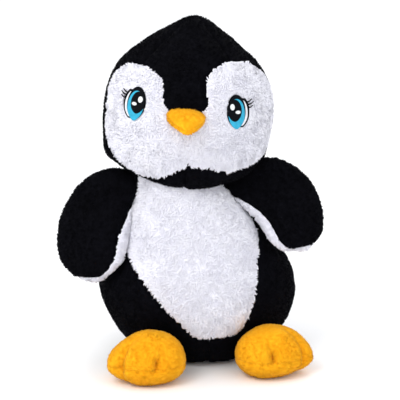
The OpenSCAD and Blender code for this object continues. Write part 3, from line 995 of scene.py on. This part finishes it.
def joined(name, pieces):
    """Several mesh objects made into one."""
    points, faces, start = [], [], 0
    material = pieces[0].data.materials[0]
    for piece in pieces:
        mesh = piece.data
        points += [tuple(v.co / MM) for v in mesh.vertices]
        faces += [tuple(start + i for i in p.vertices) for p in mesh.polygons]
        start = len(points)
        bpy.data.objects.remove(piece)
    mesh = bpy.data.meshes.new(name)
    mesh.from_pydata([tuple(c * MM for c in p) for p in points], [], faces)
    mesh.materials.append(material)
    mesh.shade_smooth()
    made = bpy.data.objects.new(name, mesh)
    bpy.context.collection.objects.link(made)
    return made


def strand(name, path, radii, material, sides=8, twist=0.0):
    """A closed tube along a path, with a radius for each point, for threads and lashes."""
    path = np.asarray(path, float)
    run = np.gradient(path, axis=0)
    run /= np.linalg.norm(run, axis=1, keepdims=True)
    guide = np.array([0.31, 0.52, 0.79])
    side_way = np.cross(run, guide)
    side_way /= np.linalg.norm(side_way, axis=1, keepdims=True)
    other = np.cross(run, side_way)
    angle = 2 * np.pi * np.arange(sides) / sides
    rings = []
    for i, p in enumerate(path):
        spin = angle + twist * i
        ply = 1 + (0.22 * np.cos(2 * (angle)) if twist else 0 * angle)
        rings.append(p + radii[i] * ply[:, None] * (
            np.cos(spin)[:, None] * side_way[i] + np.sin(spin)[:, None] * other[i]
        ))
    points = np.concatenate(rings + [path[:1], path[-1:]])
    faces = []
    for r in range(len(path) - 1):
        for c in range(sides):
            i, j = r * sides + c, r * sides + (c + 1) % sides
            faces.append((i, j, j + sides, i + sides))
    first, last = len(path) * sides, len(path) * sides + 1
    for c in range(sides):
        d = (c + 1) % sides
        faces.append((first, d, c, c))
        faces.append((last, (len(path) - 1) * sides + c, (len(path) - 1) * sides + d, last))
    faces = [tuple(dict.fromkeys(f)) for f in faces]
    mesh = bpy.data.meshes.new(name)
    mesh.from_pydata((points * MM).tolist(), [], faces)
    mesh.materials.append(material)
    mesh.shade_smooth()
    made = bpy.data.objects.new(name, mesh)
    bpy.context.collection.objects.link(made)
    return made


def rounded_path(corners, steps=10):
    """A smooth open path through three or more corners."""
    corners = np.asarray(corners, float)
    table = np.column_stack([np.linspace(0, 1, len(corners)), corners])
    t = np.linspace(0, 1, steps)
    return np.stack([along(table, t, k + 1) for k in range(corners.shape[1])], axis=-1)


# %% Eyes
stitched = {}
for side, word in ((-1, "left"), (1, "right")):
    ovals = {}
    for layer, shape, thread, lift in EYE_LAYERS:
        ovals[layer] = satin_patch(f"satin_{layer}_{word}", side, shape, thread, lift)
    black_rim = joined(f"eye_black_{word}", [ovals.pop("rim"), ovals.pop("line")])
    lights = joined(f"eye_lights_{word}", [
        satin_patch(f"light_{i}", side, shape, white_embroidery, 2.2, 8)
        for i, shape in enumerate(HIGHLIGHTS)
    ])
    hairs = []
    for i, corners in enumerate(LASHES):
        flat = rounded_path(corners)
        path = on_eye(side, flat[:, 0], flat[:, 1], np.linspace(1.0, LASH_TIP, len(flat)))
        radii = np.linspace(1.0, 0.45, len(path))
        hairs.append(strand(f"lash_{i}", path, radii, black_embroidery))
    lashes = joined(f"lashes_{word}", hairs)
    for piece, node in (
        (black_rim, f"eye_outline_{word}"),
        (ovals["white"], f"eye_white_{word}"),
        (ovals["iris"], f"eye_iris_{word}"),
        (ovals["pupil"], f"eye_pupil_{word}"),
        (lights, f"eye_highlights_{word}"),
        (lashes, f"eyelashes_{word}"),
    ):
        stands_for(piece, "head", node)
    stitched[f"face_{word}"] = [black_rim, ovals["white"], ovals["iris"]]
print("eyes embroidered")

# %% [markdown]
# ## Threads and the label
# The toes are drawn in by two short runs of strong thread, and the back was closed by hand with a
# ladder of small stitches. A blank folded label of white satin is caught in the seam of the back.

# %% Toe threads, closing stitches and label


def skin_point(form, u, v, lift):
    """A point off a form's cloth."""
    step = 0.5 if abs(v) > 1.5 else 0.02
    p = form(np.array([u]), np.array([v]))[0]
    across = form(np.array([u + 1.0]), np.array([v]))[0] - p
    up = form(np.array([u]), np.array([v + step]))[0] - p
    way = np.cross(across, up)
    return p + lift * way / np.linalg.norm(way)


# Each toe thread: degrees round the foot, and the degrees up that it starts and ends at
TOE_THREADS = ((42, -16, 20), (-18, 3, 18))
for side, word in ((-1, "left"), (1, "right")):
    form = foot_form(side)
    pieces = []
    for i, (at, low, high) in enumerate(TOE_THREADS):
        path = [skin_point(form, side * at, v, 0.5) for v in np.linspace(low, high, 14)]
        pieces.append(strand(f"toe_{i}", path, [0.55] * 14, orange_thread, 8, 0.6))
    threads = joined(f"toe_threads_{word}", pieces)
    stands_for(threads, f"{word}_foot", f"toe_stitches_{word}")

STITCHES = 7
STITCH_LOW = 92
STITCH_STEP = 8
pieces = []
for i in range(STITCHES):
    low = STITCH_LOW + STITCH_STEP * i
    path = []
    for t in np.linspace(0, 1, 9):
        u = 180 + (t - 0.5) * 5.5
        path.append(skin_point(body_point, u, low + 1.5 * t, 0.2 + 1.9 * math.sin(math.pi * t)))
    pieces.append(strand(f"stitch_{i}", path, [0.5] * 9, black_thread, 8, 0.6))
closing = joined("closing_stitches", pieces)
stands_for(closing, "torso", "back_closing_stitches")

LABEL_WIDTH = 20.0
LABEL_LENGTH = 54.0
LABEL_THICK = 0.4
LABEL_FOLD = 1.1
LABEL_WAVE = 1.2
LABEL_TURN = 50
LABEL_HEIGHT = 66
LABEL_TUCK = 1.5


def label_mesh():
    """A satin ribbon folded in half, both ends in the seam, as one closed sheet."""
    count = 36
    fold = LABEL_FOLD
    half = (LABEL_LENGTH - math.pi * fold) / 2
    path = []
    for s in np.linspace(0, LABEL_LENGTH, count):
        if s < half:
            path.append((s, fold))
        elif s < half + math.pi * fold:
            a = (s - half) / fold
            path.append((half + fold * math.sin(a), fold * math.cos(a)))
        else:
            path.append((LABEL_LENGTH - s, -fold))
    path = np.array(path)
    path[:, 1] += LABEL_WAVE * np.sin(path[:, 0] / half * 2.2)
    run = np.gradient(path, axis=0)
    way = np.stack([-run[:, 1], run[:, 0]], -1) / np.linalg.norm(run, axis=1, keepdims=True)
    rows = 9
    across = np.linspace(-LABEL_WIDTH / 2, LABEL_WIDTH / 2, rows)
    layers = []
    for face in (0.5, -0.5):
        ring = path + way * face * LABEL_THICK
        layers.append(np.stack([
            np.repeat(ring[:, 0][:, None], rows, 1),
            np.repeat(ring[:, 1][:, None], rows, 1),
            np.repeat(across[None, :], count, 0),
        ], -1))
    index = np.arange(count * rows).reshape(count, rows)
    total = index.size
    corners = [index[:-1, :-1], index[1:, :-1], index[1:, 1:], index[:-1, 1:]]
    quads = np.stack(corners, -1).reshape(-1, 4)
    rim = np.concatenate([index[:, 0], index[-1, 1:], index[-2::-1, -1], index[0, -2:0:-1]])
    wall = np.stack([rim, np.roll(rim, -1), np.roll(rim, -1) + total, rim + total], -1)
    faces = np.concatenate([quads[:, ::-1], quads + total, wall])
    return np.concatenate([layer.reshape(-1, 3) for layer in layers]), faces


label_points, label_faces = label_mesh()
label_points = turned(label_points, "Z", BODY_TURN + LABEL_TURN)
seam_end = skin_point(body_point, 180, LABEL_HEIGHT, -LABEL_TUCK)
label = to_mesh("label", label_points + seam_end, label_faces, white_satin)
stands_for(label, "torso", "care_label")
print("threads and label made")

# %% [markdown]
# ## Locks of pile
# Long white plush doesn't stand up like grass. It gathers into soft pointed locks that lie one way
# in one patch and another way in the next, and they overhang the dark cloth at the seams. Each
# lock here is a small closed spike with a bend in it, set in the cloth. Where the locks lie is a
# smooth field of directions, with a little weight pulling them down. The black and the orange
# cloth have a short pile, so their locks are small straight spikes. Every lock is shaded with the
# direction of the cloth under it, which gives the soft even light of real pile.

# %% Locks


def outer_samples(piece, count, rng):
    """Even random places on a panel's outer face: points and normals in millimetres."""
    mesh = piece.data
    mesh.calc_loop_triangles()
    flat = np.empty(len(mesh.loop_triangles) * 3, int)
    mesh.loop_triangles.foreach_get("vertices", flat)
    tris = flat.reshape(-1, 3)
    co = np.empty(len(mesh.vertices) * 3)
    mesh.vertices.foreach_get("co", co)
    co = co.reshape(-1, 3) / MM
    normal = np.empty(len(mesh.vertices) * 3)
    mesh.vertices.foreach_get("normal", normal)
    normal = normal.reshape(-1, 3)
    a, b, c = (co[tris[:, i]] for i in range(3))
    area = np.linalg.norm(np.cross(b - a, c - a), axis=1)
    pick = rng.choice(len(tris), count, p=area / area.sum())
    r, s = rng.random((2, count))
    over = r + s > 1
    r[over], s[over] = 1 - r[over], 1 - s[over]
    weights = np.stack([1 - r - s, r, s], -1)[..., None]
    return (co[tris[pick]] * weights).sum(1), (normal[tris[pick]] * weights).sum(1)


def unit(v):
    return v / np.maximum(np.linalg.norm(v, axis=-1, keepdims=True), 1e-9)


# How strongly the lie of a patch, its finer waves, chance and weight each bend a lock
PATCH_PULL = 1.7
FINE_PULL = 1.8
LOOSE = 0.28
WEIGHT = 0.25


def lock_points(place, way, kind, rng):
    """The points of every lock, one or two rings of three and a tip, and which way each faces."""
    count = len(place)
    field = np.array([noise.noise_vector(Vector(p / kind["patch"])) for p in place])
    fine = np.array([noise.noise_vector(Vector(p / (kind["patch"] * 0.3) + 9)) for p in place])
    loose = rng.normal(0, LOOSE, (count, 3))
    aside = field * PATCH_PULL + fine * FINE_PULL + loose + np.array([0, 0, -WEIGHT])
    aside = aside - way * (aside * way).sum(1, keepdims=True)
    strength = np.linalg.norm(aside, axis=1, keepdims=True)
    aside = aside * np.minimum(1, 1 / np.maximum(strength, 1e-9))
    size = rng.uniform(0.7, 1.15, (count, 1))
    reach = kind["length"] * size
    first = unit(way + aside * kind["lie"] * 0.6)
    second = unit(way * 0.75 + aside * kind["lie"] * 1.5)
    half = place + first * reach * 0.5
    tip = half + second * reach * 0.55
    across = unit(np.cross(first, rng.normal(size=(count, 3))))
    other = np.cross(first, across)
    root = (place - way * 0.5, kind["width"])
    rings, faces = [], []
    for middle, radius in (root, (half, kind["width"] * 0.72))[: kind["rings"]]:
        for k in range(3):
            angle = 2 * math.pi * k / 3
            out = math.cos(angle) * across + math.sin(angle) * other
            rings.append(middle + radius * size * out)
            faces.append(unit(way * kind["soft"] + out * (1 - kind["soft"])))
    faces.append(unit(way * kind["soft"] + second * (1 - kind["soft"])))
    return np.stack(rings + [tip], 1), np.stack(faces, 1)


# The faces of a lock with one ring and of a lock with two
LOCK_FACES = {
    1: [(0, 1, 3), (1, 2, 3), (2, 0, 3), (2, 1, 0)],
    2: [
        (0, 1, 4), (0, 4, 3), (1, 2, 5), (1, 5, 4), (2, 0, 3), (2, 3, 5),
        (3, 4, 6), (4, 5, 6), (5, 3, 6), (2, 1, 0),
    ],
}


OFF_FLOOR = 0.1


def plant(piece, kind, keep_off, seed):
    """Sets locks on a panel and joins them into its mesh. Gives how many it planted."""
    rng = np.random.default_rng(seed)
    area = sum(p.area for p in piece.data.polygons) / MM**2
    place, way = outer_samples(piece, int(area * kind["density"]), rng)
    if keep_off:
        free = [keep_off.find_nearest(Vector(p), CLEAR_OF_STITCHES)[0] is None for p in place]
        place, way = place[free], way[free]
    way = unit(way)
    spikes, facing = lock_points(place, way, kind, rng)
    spikes[..., 2] = np.maximum(spikes[..., 2], OFF_FLOOR)
    graph = bpy.context.evaluated_depsgraph_get()
    shell = bpy.data.meshes.new_from_object(piece.evaluated_get(graph))
    co, normal = (np.empty(len(shell.vertices) * 3) for _ in range(2))
    shell.vertices.foreach_get("co", co)
    shell.vertices.foreach_get("normal", normal)
    co = co.reshape(-1, 3)
    co[:, 2] = np.maximum(co[:, 2], OFF_FLOOR * MM)
    base = len(shell.vertices)
    corners = spikes.shape[1]
    faces = [tuple(p.vertices) for p in shell.polygons]
    starts = base + corners * np.arange(len(spikes))
    spike_faces = (starts[:, None, None] + np.array(LOCK_FACES[kind["rings"]])[None]).reshape(-1, 3)
    mesh = bpy.data.meshes.new(piece.name)
    points = np.concatenate([co, spikes.reshape(-1, 3) * MM])
    mesh.from_pydata(points.tolist(), [], faces + spike_faces.tolist())
    mesh.materials.append(piece.data.materials[0])
    mesh.shade_smooth()
    normals = np.concatenate([normal.reshape(-1, 3), facing.reshape(-1, 3)])
    mesh.normals_split_custom_set_from_vertices(normals.tolist())
    piece.modifiers.clear()
    piece.data = mesh
    return len(spikes)


def stitched_tree(pieces):
    """A tree of the pieces that pile must not grow through, in millimetres."""
    points, faces = [], []
    for piece in pieces:
        mesh = piece.data
        start = len(points)
        points += [Vector(v.co) / MM for v in mesh.vertices]
        faces += [tuple(start + i for i in p.vertices) for p in mesh.polygons]
    return BVHTree.FromPolygons(points, faces)


CLEAR_OF_STITCHES = 1.9
# Locks to a square millimetre, length and width in millimetres, how far they lie over, the size
# of a patch, rings in a lock, and how much the cloth's direction softens their shading
PILE = ("density", "length", "width", "lie", "patch", "rings", "soft")
LONG_PILE = dict(zip(PILE, (0.65, 3.7, 1.1, 0.75, 15, 2, 0.5)))
SHORT_PILE = dict(zip(PILE, (0.34, 1.7, 0.95, 0.7, 22, 1, 0.6)))
FOOT_PILE = dict(zip(PILE, (0.6, 1.6, 0.85, 0.7, 16, 1, 0.7)))
KINDS = {white_plush.name: LONG_PILE, black_plush.name: SHORT_PILE, orange_plush.name: FOOT_PILE}
beak = [small_parts["beak_top"], small_parts["beak_underside"]]
keep_off = {name: stitched_tree(pieces + beak) for name, pieces in stitched.items()}
total = 0
for seed, (name, piece) in enumerate({**body, **head, **small_parts, **base}.items()):
    kind = KINDS[piece.data.materials[0].name]
    total += plant(piece, kind, keep_off.get(name), 100 + seed)
print("planted", total, "locks of pile")
